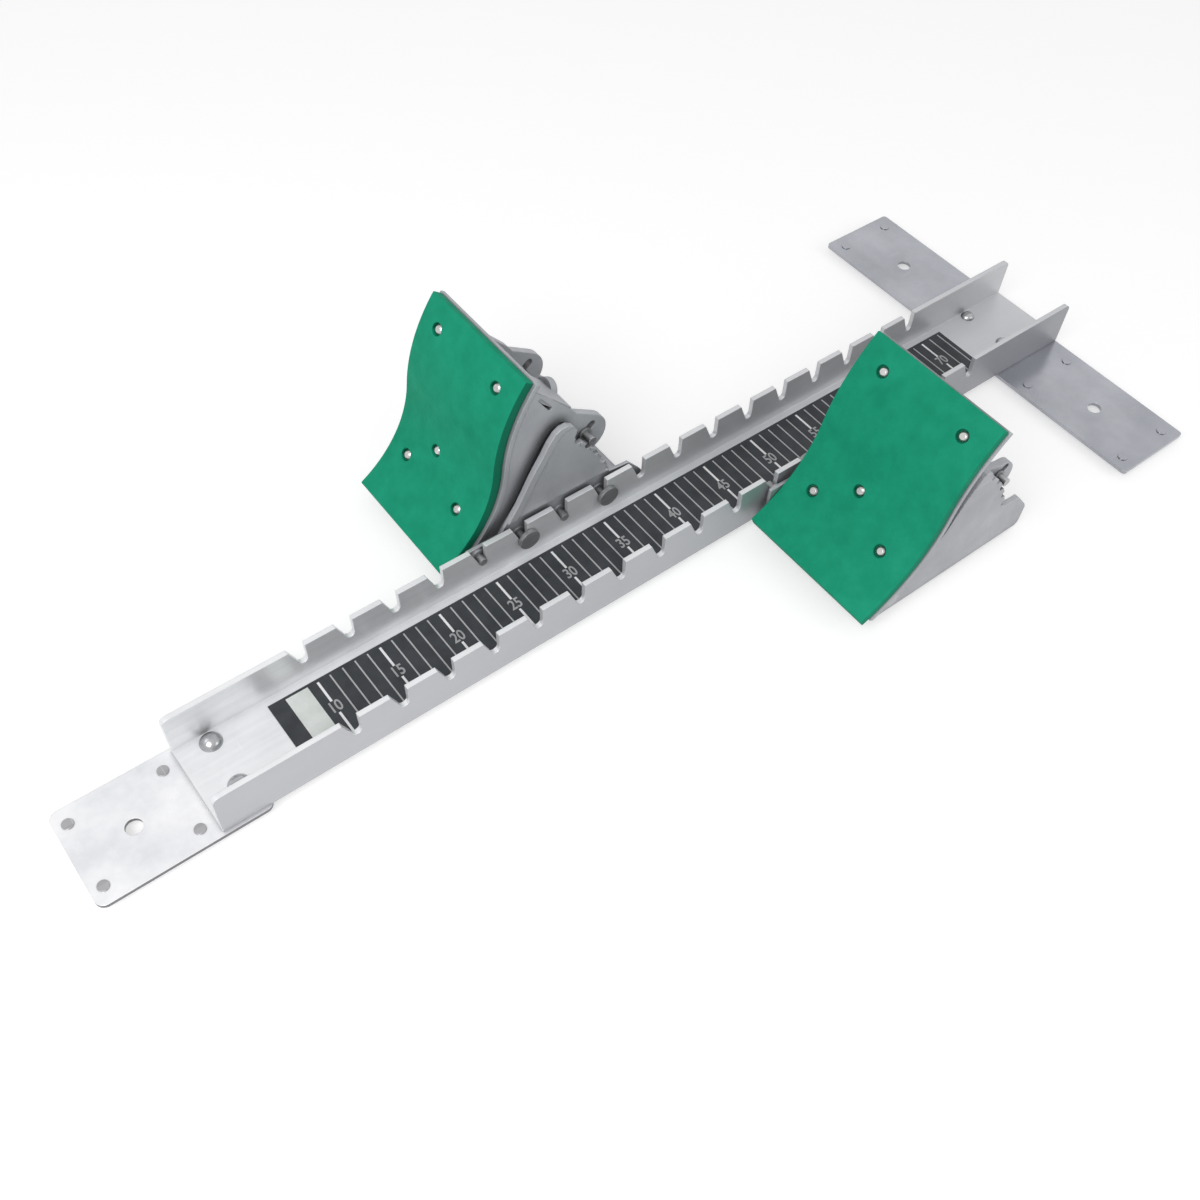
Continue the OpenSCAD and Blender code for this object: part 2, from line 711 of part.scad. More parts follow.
module right_base() color("darkgray") on_side(right_x, -1) base();
module right_studs() color("dimgray") on_side(right_x, -1) studs();
module right_foot_plate() color("darkgray") on_side(right_x, -1) tilted(right_tilt)
    drilled(right_screws) foot_plate(right_skin_inner, right_far_arm, false, right_screws);
module right_pad() color("seagreen") on_side(right_x, -1) tilted(right_tilt)
    drilled(right_screws) pad(right_pad_inner);
module right_pad_screws() color("silver") on_side(right_x, -1) tilted(right_tilt)
    for (p = right_screws) at_screw(p) screw();
module right_hinge_pin() color("silver") on_side(right_x, -1) hinge_pin();
module right_hinge_ring() color("gray") on_side(right_x, -1) ring(hinge_r, 2, side_in_back, side_in_back + 1);
module right_lock_bar() color("silver") on_side(right_x, -1) at_bar(right_tilt) lock_bar();
module right_bar_rings() color("gray") on_side(right_x, -1) at_bar(right_tilt) bar_rings(right_far_arm);

module left_base() color("darkgray") on_side(left_x, 1) base();
module left_studs() color("dimgray") on_side(left_x, 1) studs();
module left_foot_plate() color("darkgray") on_side(left_x, 1) tilted(left_tilt)
    drilled(left_screws) foot_plate(left_skin_inner, left_far_arm, true, left_screws);
module left_pad() color("seagreen") on_side(left_x, 1) tilted(left_tilt)
    drilled(left_screws) pad(left_pad_inner);
module left_pad_screws() color("silver") on_side(left_x, 1) tilted(left_tilt)
    for (p = left_screws) at_screw(p) screw();
module left_hinge_pin() color("silver") on_side(left_x, 1) hinge_pin();
module left_hinge_ring() color("gray") on_side(left_x, 1) ring(hinge_r, 2, side_in_back, side_in_back + 1);
module left_lock_bar() color("silver") on_side(left_x, 1) at_bar(left_tilt) lock_bar();
module left_bar_rings() color("gray") on_side(left_x, 1) at_bar(left_tilt) bar_rings(left_far_arm);

rail();
scale_strip();
front_plate();
rear_plate();
front_spikes();
rear_spikes();
front_rivets();
rear_rivets();
right_base();
right_studs();
right_foot_plate();
right_pad();
right_pad_screws();
right_hinge_pin();
right_hinge_ring();
right_lock_bar();
right_bar_rings();
left_base();
left_studs();
left_foot_plate();
left_pad();
left_pad_screws();
left_hinge_pin();
left_hinge_ring();
left_lock_bar();
left_bar_rings();
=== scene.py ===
# %% [markdown]
# # Starting blocks for a running track
# The object is an aluminium channel rail on two spiked ground plates, with a tilting
# pedal hooked on the outside of each flange. The metal shapes come from the packed
# frame, in metres. This lesson gives every one of them its finish, and models
# what is soft or printed: the rubber pads and the marks of the scale.

import json
import math

import bpy
from mathutils import Matrix, Vector


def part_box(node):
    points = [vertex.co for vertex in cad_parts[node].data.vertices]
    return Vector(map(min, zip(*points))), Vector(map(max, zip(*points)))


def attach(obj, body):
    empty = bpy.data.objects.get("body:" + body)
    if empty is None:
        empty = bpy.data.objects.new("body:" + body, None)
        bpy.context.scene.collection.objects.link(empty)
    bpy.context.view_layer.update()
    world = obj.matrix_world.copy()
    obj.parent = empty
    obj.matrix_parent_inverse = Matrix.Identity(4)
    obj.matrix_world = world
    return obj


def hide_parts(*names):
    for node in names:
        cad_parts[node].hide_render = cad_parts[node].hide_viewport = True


MM = 0.001

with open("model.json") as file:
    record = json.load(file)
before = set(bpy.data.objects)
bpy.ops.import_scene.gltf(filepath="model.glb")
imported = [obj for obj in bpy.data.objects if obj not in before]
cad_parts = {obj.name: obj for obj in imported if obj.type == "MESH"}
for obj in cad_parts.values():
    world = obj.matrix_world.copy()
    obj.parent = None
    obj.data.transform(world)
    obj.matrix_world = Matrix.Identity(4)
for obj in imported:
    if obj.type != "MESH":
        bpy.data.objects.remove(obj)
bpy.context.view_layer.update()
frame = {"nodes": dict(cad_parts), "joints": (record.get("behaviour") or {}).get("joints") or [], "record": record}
nodes = frame["nodes"]

# %% [markdown]
# ## Camera
# The photograph looks down on the blocks from the front left, with a slight roll. Its lens
# and place were worked out from the rail's notches, which are evenly spaced. A camera
# looks along its own -Z, so the three axes are built as vectors and set as the columns of
# its matrix. That is safer than Euler angles, where the order of turns matters.

# %% Place the camera
SENSOR_MM = 36.0
FOCAL_PIXELS = 1301.086
IMAGE_PIXELS = 1200
LOOK_AZIMUTH, LOOK_DOWN, ROLL = (math.radians(a) for a in (220.776, 53.137, -4.138))
LOOK_AT = Vector((0.05424, 0.030118, 0.009))
LOOK_DISTANCE = 0.9594

forward = Vector((math.sin(LOOK_AZIMUTH) * math.cos(LOOK_DOWN),
                  math.cos(LOOK_AZIMUTH) * math.cos(LOOK_DOWN),
                  -math.sin(LOOK_DOWN)))
level_right = Vector((math.cos(LOOK_AZIMUTH), -math.sin(LOOK_AZIMUTH), 0.0))
level_down = forward.cross(level_right)
right = math.cos(ROLL) * level_right + math.sin(ROLL) * level_down
up = math.sin(ROLL) * level_right - math.cos(ROLL) * level_down
bpy.ops.object.camera_add(location=LOOK_AT - forward * LOOK_DISTANCE)
camera = bpy.context.object
camera.name = "camera"
place = Matrix((right, up, -forward)).transposed().to_4x4()
place.translation = LOOK_AT - forward * LOOK_DISTANCE
camera.matrix_world = place
camera.data.sensor_width = SENSOR_MM
camera.data.lens = SENSOR_MM * FOCAL_PIXELS / IMAGE_PIXELS
camera.data.clip_start = 0.01
bpy.context.scene.camera = camera
print("camera at", tuple(round(c, 3) for c in place.translation))

# %% [markdown]
# ## Floor, world and lamps
# The photograph is a studio cut-out on white with soft light. A pale floor keeps the
# object's shadow. To the camera, and in what the metal mirrors, the floor and the
# world are lifted to white by Light Path. The light that falls on the object stays plain.

# %% Helpers that build shader trees
def add(tree, kind, **values):
    """Adds a node and sets its properties, or its sockets' values, by name."""
    node = tree.nodes.new(kind)
    for name, value in values.items():
        socket = node.inputs.get(name.replace("_", " "))
        if socket is not None:
            socket.default_value = value
        else:
            setattr(node, name, value)
    return node


def feed(tree, value, socket):
    """Links a socket, or sets a plain value."""
    if isinstance(value, bpy.types.NodeSocket):
        tree.links.new(value, socket)
    else:
        socket.default_value = value


def calc(tree, operation, *values, clamp=False):
    node = add(tree, "ShaderNodeMath", operation=operation, use_clamp=clamp)
    for value, socket in zip(values, node.inputs):
        feed(tree, value, socket)
    return node.outputs[0]


def spread(tree, value, low, high, to_low=0.0, to_high=1.0):
    """Maps a value from one range to another, and holds it at the ends."""
    node = add(tree, "ShaderNodeMapRange", clamp=True)
    for item, socket in zip((value, low, high, to_low, to_high), node.inputs):
        feed(tree, item, socket)
    return node.outputs[0]


def mixed(tree, share, first, second):
    """Mixes two colours, each a socket or three numbers."""
    node = add(tree, "ShaderNodeMix", data_type="RGBA")
    feed(tree, share, node.inputs[0])
    for value, socket in ((first, node.inputs[6]), (second, node.inputs[7])):
        feed(tree, (*value, 1.0) if isinstance(value, tuple) else value, socket)
    return node.outputs[2]


print("helpers for trees ready")

# %% Helpers for whole materials
def fresh_material(name):
    material = bpy.data.materials.new(name)
    material.use_nodes = True
    tree = material.node_tree
    tree.nodes.clear()
    return material, tree


def along_axes(tree, kind):
    """X, Y and Z of the piece's own coordinates ("Object"), or of its surface's "Normal"."""
    parts = add(tree, "ShaderNodeSeparateXYZ")
    feed(tree, add(tree, "ShaderNodeTexCoord").outputs[kind], parts.inputs[0])
    return parts.outputs


def magnitude(tree, value):
    return calc(tree, "ABSOLUTE", value)


def set_out(tree, shader, relief, normal=None):
    """Bumps the shader by a relief, in millimetres, and hands it to the material."""
    bump = add(tree, "ShaderNodeBump", Strength=1.0, Distance=MM)
    feed(tree, relief, bump.inputs["Height"])
    if normal is not None:
        feed(tree, normal, bump.inputs["Normal"])
    feed(tree, bump.outputs[0], shader.inputs["Normal"])
    feed(tree, shader.outputs[0], add(tree, "ShaderNodeOutputMaterial").inputs["Surface"])


print("helpers for materials ready")

# %% Floor
def seen_or_mirrored(tree):
    """1 for rays from the camera, and for mirrored and refracted rays."""
    path = add(tree, "ShaderNodeLightPath")
    either = calc(tree, "MAXIMUM", path.outputs["Is Camera Ray"], path.outputs["Is Glossy Ray"])
    return calc(tree, "MAXIMUM", either, path.outputs["Is Transmission Ray"])


FLOOR_SIZE = 12.0
FLOOR_GREY, FLOOR_LIFT = 0.64, 0.48

bpy.ops.object.select_all(action="DESELECT")
bpy.ops.mesh.primitive_plane_add(size=FLOOR_SIZE)
floor = bpy.context.object
floor.name = "floor"
floor_paint, tree = fresh_material("floor_paint")
diffuse = add(tree, "ShaderNodeBsdfDiffuse", Color=(FLOOR_GREY, FLOOR_GREY, FLOOR_GREY, 1))
glow = add(tree, "ShaderNodeEmission", Color=(1, 1, 1, 1))
feed(tree, calc(tree, "MULTIPLY", seen_or_mirrored(tree), FLOOR_LIFT), glow.inputs["Strength"])
both = add(tree, "ShaderNodeAddShader")
tree.links.new(diffuse.outputs[0], both.inputs[0])
tree.links.new(glow.outputs[0], both.inputs[1])
tree.links.new(both.outputs[0], add(tree, "ShaderNodeOutputMaterial").inputs["Surface"])
floor.data.materials.append(floor_paint)
print("floor", FLOOR_SIZE, "m wide")

# %% World
WORLD_LEVEL = 0.52

world = bpy.data.worlds.new("studio")
bpy.context.scene.world = world
world.use_nodes = True
tree = world.node_tree
tree.nodes.clear()
sky = add(tree, "ShaderNodeBackground", Color=(1, 1, 1, 1))
lifted = spread(tree, seen_or_mirrored(tree), 0.0, 1.0, WORLD_LEVEL, 1.0)
feed(tree, lifted, sky.inputs["Strength"])
tree.links.new(sky.outputs[0], add(tree, "ShaderNodeOutputWorld").inputs["Surface"])
print("world at", WORLD_LEVEL)

# %% Lamps
def softbox(name, place, aim, size, power):
    bpy.ops.object.light_add(type="AREA", location=place)
    lamp = bpy.context.object
    lamp.name = name
    lamp.data.shape = "SQUARE"
    lamp.data.size = size
    lamp.data.energy = power
    lamp.rotation_euler = (Vector(aim) - Vector(place)).to_track_quat("-Z", "Y").to_euler()
    return lamp


softbox("key_softbox", place=(1.2, 0.5, 1.5), aim=(0.1, 0.0, 0.0), size=1.1, power=19)
softbox("side_softbox", place=(-1.3, 1.9, 1.2), aim=(0.0, 0.0, 0.05), size=1.2, power=9)
bpy.context.scene.view_settings.view_transform = "Standard"

# %% [markdown]
# ## Effects that several finishes share
# Four shader groups are built once and placed in each material with its own values:
# - streaks: noise stretched along one way, as an extruded or brushed surface has;
# - grain: the fine pits and tone of a casting or of rubber;
# - scratches: sparse thin marks in two directions;
# - worn edges: where a corner's rounded normal departs from the face's own, the
#   surface is handled most. It also hands on that rounded normal, so that every sharp
#   corner catches a thin highlight, as a real edge does.
#
# Streaks, grain and scratches read Object coordinates, which stay with the piece when it moves.

# %% Helpers for the groups
def new_group(name, inputs, outputs):
    group = bpy.data.node_groups.new(name, "ShaderNodeTree")
    for label, kind, value in inputs:
        socket = group.interface.new_socket(name=label, in_out="INPUT", socket_type=kind)
        if value is not None:
            socket.default_value = value
    for label, kind in outputs:
        group.interface.new_socket(name=label, in_out="OUTPUT", socket_type=kind)
    return group, group.nodes.new("NodeGroupInput").outputs, group.nodes.new("NodeGroupOutput").inputs


def object_space(tree, scale):
    """Object coordinates, stretched by scale."""
    where = add(tree, "ShaderNodeTexCoord")
    mapping = add(tree, "ShaderNodeMapping")
    tree.links.new(where.outputs["Object"], mapping.inputs["Vector"])
    feed(tree, scale, mapping.inputs["Scale"])
    return mapping.outputs[0]


def noise(tree, vector, scale, detail=3.0, rough=0.55):
    node = add(tree, "ShaderNodeTexNoise")
    for value, name in ((vector, "Vector"), (scale, "Scale"), (detail, "Detail"), (rough, "Roughness")):
        feed(tree, value, node.inputs[name])
    return node.outputs["Fac"]


print("helpers for groups ready")

# %% Streaks
streaks, given, made = new_group(
    "streaks",
    (("Stretch", "NodeSocketVector", (4.0, 260.0, 260.0)), ("Contrast", "NodeSocketFloat", 0.18)),
    (("Value", "NodeSocketFloat"),))
field = noise(streaks, object_space(streaks, given["Stretch"]), scale=1.0, detail=4.0)
half = calc(streaks, "MULTIPLY", given["Contrast"], 0.5)
feed(streaks, spread(streaks, field, calc(streaks, "SUBTRACT", 0.5, half),
                     calc(streaks, "ADD", 0.5, half)), made["Value"])
print("streaks:", len(streaks.nodes), "nodes")

# %% Grain
PIT_SCALE, PIT_SHARE = 0.6, 0.45
PIT_BOTTOM, PIT_RIM = 0.05, 0.45
CLOUD_LOW, CLOUD_HIGH = 0.32, 0.68

grain, given, made = new_group(
    "grain",
    (("Scale", "NodeSocketFloat", 900.0), ("Cloud Scale", "NodeSocketFloat", 35.0)),
    (("Height", "NodeSocketFloat"), ("Tone", "NodeSocketFloat")))
flat = object_space(grain, (1.0, 1.0, 1.0))
fine = noise(grain, flat, given["Scale"], detail=2.0, rough=0.6)
pits = add(grain, "ShaderNodeTexVoronoi", feature="F1")
feed(grain, flat, pits.inputs["Vector"])
feed(grain, calc(grain, "MULTIPLY", given["Scale"], PIT_SCALE), pits.inputs["Scale"])
shallow = spread(grain, pits.outputs["Distance"], PIT_BOTTOM, PIT_RIM)
sand = calc(grain, "MULTIPLY", fine, 1 - PIT_SHARE)
feed(grain, calc(grain, "MULTIPLY_ADD", shallow, PIT_SHARE, sand), made["Height"])
clouds = noise(grain, flat, given["Cloud Scale"], detail=5.0, rough=0.6)
feed(grain, spread(grain, clouds, CLOUD_LOW, CLOUD_HIGH), made["Tone"])
print("grain:", len(grain.nodes), "nodes")

# %% Scratches
RAREST, COMMONER, SCRATCH_EDGE = 0.78, 0.14, 0.05
ALONG_RAIL, ACROSS_RAIL, TURNED = (14.0, 420.0, 500.0), (330.0, 16.0, 380.0), (0.4, 0.3, 0.9)

scratches, given, made = new_group(
    "scratches",
    (("Density", "NodeSocketFloat", 0.5),),
    (("Mask", "NodeSocketFloat"),))
lowered = calc(scratches, "MULTIPLY", given["Density"], COMMONER)
threshold = calc(scratches, "SUBTRACT", RAREST, lowered)
long_way = noise(scratches, object_space(scratches, ALONG_RAIL), scale=1.0, detail=2.0)
turned = add(scratches, "ShaderNodeMapping", Rotation=TURNED, Scale=ACROSS_RAIL)
feed(scratches, add(scratches, "ShaderNodeTexCoord").outputs["Object"], turned.inputs["Vector"])
cross_way = noise(scratches, turned.outputs[0], scale=1.0, detail=2.0)
thin = calc(scratches, "MAXIMUM", long_way, cross_way)
clear_mark = calc(scratches, "ADD", threshold, SCRATCH_EDGE)
feed(scratches, spread(scratches, thin, threshold, clear_mark), made["Mask"])
print("scratches:", len(scratches.nodes), "nodes")

# %% Worn edges
UNWORN_FROM, WORN_TO, RAYS = 0.97, 0.72, 6

worn_edges, given, made = new_group(
    "worn_edges",
    (("Radius", "NodeSocketFloat", 0.0008),),
    (("Mask", "NodeSocketFloat"), ("Normal", "NodeSocketVector")))
rounded = add(worn_edges, "ShaderNodeBevel", samples=RAYS)
feed(worn_edges, given["Radius"], rounded.inputs["Radius"])
agree = add(worn_edges, "ShaderNodeVectorMath", operation="DOT_PRODUCT")
feed(worn_edges, rounded.outputs[0], agree.inputs[0])
feed(worn_edges, add(worn_edges, "ShaderNodeNewGeometry").outputs["Normal"], agree.inputs[1])
feed(worn_edges, spread(worn_edges, agree.outputs["Value"], UNWORN_FROM, WORN_TO), made["Mask"])
feed(worn_edges, rounded.outputs[0], made["Normal"])
print("all groups:", [g.name for g in bpy.data.node_groups])

# %% [markdown]
# ## One recipe for the metals
# Each metal is a Principled shader whose colour goes from a dull tone to a bright one
# with the shared effects. What differs is named in the call: how far the surface is
# streaked by the extruder, how coarse a casting's grain is, how much the edges are
# worn bright, and how much painted shade darkens the corners and creases. The rail also
# has painted shade on its outer faces and towards its rear end, and the front plate has
# painted shade on its upright faces.

# %% Placing a group
def placed(tree, group, **values):
    """Places a group in a material with its own values, and returns its outputs."""
    node = add(tree, "ShaderNodeGroup", node_tree=group)
    for name, value in values.items():
        feed(tree, value, node.inputs[name.replace("_", " ")])
    return node.outputs


print("groups can be placed")

# %% Metal recipe
SCRATCH_SHARE, SCRATCH_DEPTH = 0.5, 0.02
# Painted shade in creases: full and none at these AO levels, and its tone as a share of the dull colour
CREASE_SHADE_FULL, CREASE_SHADE_NONE, CREASE_SHADE_TONE = 0.30, 0.80, 0.35
# Painted shade along the rail: none ahead of the first X, in metres, full share behind the second
RAIL_UNSHADED_TO, RAIL_SHADED_FROM, REAR_SHADE_SHARE = 0.25, -0.40, 0.85
FLAT_FROM, UPRIGHT_TO, EDGE_GLOSS = 0.65, 0.35, 0.08


def metal(name, dull, bright, edge, metallic, rough, stretch=(4.0, 260.0, 260.0), contrast=0.18,
          grain_size=900.0, cloud=35.0, streak_share=0.5, streak_height=0.02, grain_height=0.05,
          scratch=0.4, wear=0.6, edge_radius=0.0007, crease_shade=0.0, crease_shade_reach=0.012, cloud_share=0.5,
          outer_face_shade=None, rear_end_shade=None, upright_face_shade=None):
    material, tree = fresh_material(name)
    drawn = placed(tree, streaks, Stretch=stretch, Contrast=contrast)["Value"]
    cast = placed(tree, grain, Scale=grain_size, Cloud_Scale=cloud)
    marks = placed(tree, scratches, Density=scratch)["Mask"]
    corner = placed(tree, worn_edges, Radius=edge_radius)
    clouds = calc(tree, "MULTIPLY", cast["Tone"], cloud_share)
    tone = calc(tree, "MULTIPLY_ADD", drawn, streak_share, clouds, clamp=True)
    colour = mixed(tree, tone, dull, bright)
    colour = mixed(tree, calc(tree, "MULTIPLY", marks, SCRATCH_SHARE), colour, edge)
    colour = mixed(tree, calc(tree, "MULTIPLY", corner["Mask"], wear), colour, edge)
    if crease_shade:
        # Painted shade: corners and creases that the AO node finds close by are darkened
        crease = add(tree, "ShaderNodeAmbientOcclusion", samples=RAYS, Distance=crease_shade_reach)
        crease_shade_share = spread(tree, crease.outputs["AO"], CREASE_SHADE_FULL, CREASE_SHADE_NONE, crease_shade, 0.0)
        colour = mixed(tree, crease_shade_share, colour, tuple(CREASE_SHADE_TONE * c for c in dull))
    if rear_end_shade:
        # Painted shade: the rail darkens towards its rear end
        place = along_axes(tree, "Object")
        share = spread(tree, place["X"], RAIL_UNSHADED_TO, RAIL_SHADED_FROM, 0.0, REAR_SHADE_SHARE)
        colour = mixed(tree, share, colour, rear_end_shade)
    if outer_face_shade:
        # Painted shade on the upright faces that stand beyond this distance from the rail's middle, darker towards
        # the rear end
        reach, outer_front_shade, outer_rear_shade = outer_face_shade
        place, facing = along_axes(tree, "Object"), along_axes(tree, "Normal")
        # The colour of the painted shade on the outer faces, darker towards the rear end
        skin = mixed(tree, spread(tree, place["X"], RAIL_UNSHADED_TO, RAIL_SHADED_FROM), outer_front_shade, outer_rear_shade)
        beyond = spread(tree, magnitude(tree, place["Y"]), reach - 1 * MM, reach)
        colour = mixed(tree, calc(tree, "MULTIPLY", beyond, magnitude(tree, facing["Y"])), colour, skin)
    if upright_face_shade:
        # Painted shade: the upright faces, where the sheet was cut or punched, are dark
        upright = spread(tree, magnitude(tree, along_axes(tree, "Normal")["Z"]), FLAT_FROM, UPRIGHT_TO)
        colour = mixed(tree, upright, colour, upright_face_shade)
    shader = add(tree, "ShaderNodeBsdfPrincipled", Metallic=metallic)
    feed(tree, colour, shader.inputs["Base Color"])
    level = spread(tree, tone, 0.0, 1.0, rough[1], rough[0])
    polished = calc(tree, "MULTIPLY", corner["Mask"], EDGE_GLOSS)
    feed(tree, calc(tree, "SUBTRACT", level, polished), shader.inputs["Roughness"])
    pitted = calc(tree, "MULTIPLY", cast["Height"], grain_height)
    relief = calc(tree, "MULTIPLY_ADD", drawn, streak_height, pitted)
    relief = calc(tree, "SUBTRACT", relief, calc(tree, "MULTIPLY", marks, SCRATCH_DEPTH))
    set_out(tree, shader, relief, corner["Normal"])
    return material


print("metal recipe ready")

# %% The metals of the blocks
# Each metal below darkens its corners and creases with painted shade from the AO node
finishes = {
    # The rail gets painted shade on its outer faces and towards its rear end
    "rail_alloy": metal(
        "rail_alloy", (0.74, 0.75, 0.77), (0.88, 0.885, 0.90), (0.95, 0.95, 0.96), 0.5, (0.34, 0.46),
        contrast=0.3, streak_share=0.35, streak_height=0.012, grain_height=0.014, scratch=0.35,
        cloud_share=0.65, crease_shade=0.25, outer_face_shade=(0.0366, (0.53, 0.535, 0.56), (0.34, 0.345, 0.37)),
        rear_end_shade=(0.55, 0.555, 0.575)),
    # The front plate gets painted shade on its upright faces
    "front_plate_alloy": metal(
        "front_plate_alloy", (0.70, 0.71, 0.74), (0.97, 0.97, 0.98), (0.80, 0.80, 0.81), 0.6, (0.24, 0.46),
        stretch=(120.0, 9.0, 120.0), contrast=0.5, grain_height=0.012, scratch=0.5, cloud=24.0,
        streak_share=0.12, streak_height=0.006, cloud_share=0.95, crease_shade=0.9, crease_shade_reach=0.006,
        upright_face_shade=(0.20, 0.20, 0.21)),
    "rear_plate_alloy": metal(
        "rear_plate_alloy", (0.34, 0.35, 0.385), (0.47, 0.48, 0.52), (0.60, 0.60, 0.63), 0.8, (0.16, 0.30),
        stretch=(90.0, 12.0, 90.0), contrast=0.5, grain_height=0.012, scratch=0.25, cloud=15.0,
        streak_share=0.15, streak_height=0.006, cloud_share=0.9, crease_shade=0.6, crease_shade_reach=0.005),
    "casting": metal(
        "casting", (0.385, 0.395, 0.42), (0.495, 0.505, 0.53), (0.78, 0.78, 0.80), 0.4, (0.46, 0.62),
        stretch=(60.0, 60.0, 60.0), contrast=0.4, grain_size=1300.0, cloud=28.0, streak_share=0.25,
        streak_height=0.0, grain_height=0.11, scratch=0.3, wear=0.45, edge_radius=0.0012, crease_shade=0.85,
        crease_shade_reach=0.018, cloud_share=0.7),
    "steel": metal(
        "steel", (0.33, 0.33, 0.34), (0.46, 0.46, 0.47), (0.70, 0.70, 0.70), 0.95, (0.26, 0.42),
        grain_height=0.02, edge_radius=0.0004, scratch=0.5, crease_shade=0.4),
    "screw_steel": metal(
        "screw_steel", (0.46, 0.46, 0.45), (0.66, 0.65, 0.64), (0.90, 0.90, 0.90), 0.95, (0.20, 0.34),
        grain_height=0.01, edge_radius=0.0004, scratch=0.2, crease_shade=0.6, crease_shade_reach=0.006),
    "rivet_alloy": metal(
        "rivet_alloy", (0.34, 0.345, 0.355), (0.50, 0.505, 0.515), (0.80, 0.80, 0.81), 0.95, (0.16, 0.28),
        grain_height=0.01, edge_radius=0.0004, scratch=0.3, crease_shade=0.95, crease_shade_reach=0.008),
    "dark_steel": metal(
        "dark_steel", (0.24, 0.245, 0.25), (0.34, 0.345, 0.35), (0.55, 0.55, 0.56), 0.6, (0.36, 0.5),
        grain_height=0.03, edge_radius=0.0004, crease_shade=0.5),
}
print("metals:", sorted(finishes))

# %% [markdown]
# ## Printed strip
# The scale is a dark film with light lines, stuck to the channel's floor. The film has a
# faint weave and dust, and is glossier than the rail's grain. The film itself is a part of
# the frame, so only its material is made here.

# %% Film, print and patch
WEAVE_SIZE, DUST_SIZE, WEAVE_HEIGHT = 1600.0, 60.0, 0.01


def coating(name, dark, pale, rough, specular):
    material, tree = fresh_material(name)
    speck = placed(tree, grain, Scale=WEAVE_SIZE, Cloud_Scale=DUST_SIZE)
    shader = add(tree, "ShaderNodeBsdfPrincipled", Specular_IOR_Level=specular)
    feed(tree, mixed(tree, speck["Tone"], dark, pale), shader.inputs["Base Color"])
    feed(tree, spread(tree, speck["Tone"], 0.0, 1.0, rough[1], rough[0]), shader.inputs["Roughness"])
    set_out(tree, shader, calc(tree, "MULTIPLY", speck["Height"], WEAVE_HEIGHT))
    return material


finishes["strip"] = coating("strip", (0.026, 0.029, 0.034), (0.043, 0.047, 0.053), (0.42, 0.55), 0.35)
line_print = coating("line_print", (0.68, 0.68, 0.69), (0.82, 0.82, 0.83), (0.45, 0.6), 0.3)
fine_print = coating("fine_print", (0.36, 0.365, 0.37), (0.48, 0.485, 0.49), (0.45, 0.6), 0.3)
number_print = coating("number_print", (0.30, 0.305, 0.31), (0.40, 0.405, 0.41), (0.45, 0.6), 0.3)
patch_print = coating("patch_print", (0.55, 0.58, 0.56), (0.70, 0.72, 0.70), (0.45, 0.6), 0.3)
print("prints:", line_print.name, fine_print.name, number_print.name, patch_print.name)

# %% Give each node of the frame the finish of its slot
# The rivets are duller than the rail, and the rear plate's spikes were stamped from its alloy
slot_of = {row["node"]: row["material_slot"] for row in frame["record"]["subparts"]}
slot_of.update(front_rivets="rivet_alloy", rear_rivets="rivet_alloy", rear_spikes="rear_plate_alloy")
for name, node in nodes.items():
    finish = finishes.get(slot_of.get(name))
    if finish is None:
        continue  # The pads, which are modelled below
    if not node.material_slots:
        node.data.materials.append(finish)
    for place_for in node.material_slots:
        place_for.material = finish
print("dressed:", sum(slot_of.get(n) in finishes for n in nodes), "of", len(nodes))

# %% [markdown]
# ## Rubber
# The pads are moulded rubber: a strong green, matte, with a fine sand-like skin that the
# shoe's pins have roughened. Painted shade darkens the side towards the rail and, less,
# the outer side. The grain is bump, and the mottling changes colour and roughness together.

# %% Pad rubber
SKIN_SHARE, SKIN_HEIGHT, BROAD_HEIGHT = 0.55, 0.16, 0.05
PIT_FROM, PIT_FULL = 0.30, 0.16
PIT_SHADE, OUTER_SIDE_SHADE = 0.35, 0.3
SIDE_FROM, SIDE_TO = 0.80, 0.97
DULLEST, GLOSSIEST, RUBBER_SHEEN = 0.82, 0.66, 0.22


def rubber(name, dark, pale, side):
    material, tree = fresh_material(name)
    skin = placed(tree, grain, Scale=620.0, Cloud_Scale=70.0)
    broad = placed(tree, grain, Scale=240.0, Cloud_Scale=16.0)
    mottled = calc(tree, "MULTIPLY", broad["Tone"], 1 - SKIN_SHARE)
    tone = calc(tree, "MULTIPLY_ADD", skin["Tone"], SKIN_SHARE, mottled)
    colour = mixed(tree, tone, dark, pale)
    # The colour side is painted shade, also put in the pits of the grain
    colour = mixed(tree, spread(tree, skin["Height"], PIT_FROM, PIT_FULL, 0.0, PIT_SHADE), colour, side)
    # Painted shade on the side that faces the rail, where normal and place have opposite signs along Y, and
    # lighter on the outer side
    inward = calc(tree, "MULTIPLY", along_axes(tree, "Normal")["Y"],
                  calc(tree, "SIGN", along_axes(tree, "Object")["Y"]))
    colour = mixed(tree, spread(tree, inward, -SIDE_FROM, -SIDE_TO), colour, side)
    colour = mixed(tree, spread(tree, inward, SIDE_FROM, SIDE_TO, 0.0, OUTER_SIDE_SHADE), colour, side)
    shader = add(tree, "ShaderNodeBsdfPrincipled", Specular_IOR_Level=RUBBER_SHEEN)
    feed(tree, colour, shader.inputs["Base Color"])
    feed(tree, spread(tree, tone, 0.0, 1.0, DULLEST, GLOSSIEST), shader.inputs["Roughness"])
    rolling = calc(tree, "MULTIPLY", broad["Height"], BROAD_HEIGHT)
    set_out(tree, shader, calc(tree, "MULTIPLY_ADD", skin["Height"], SKIN_HEIGHT, rolling))
    return material


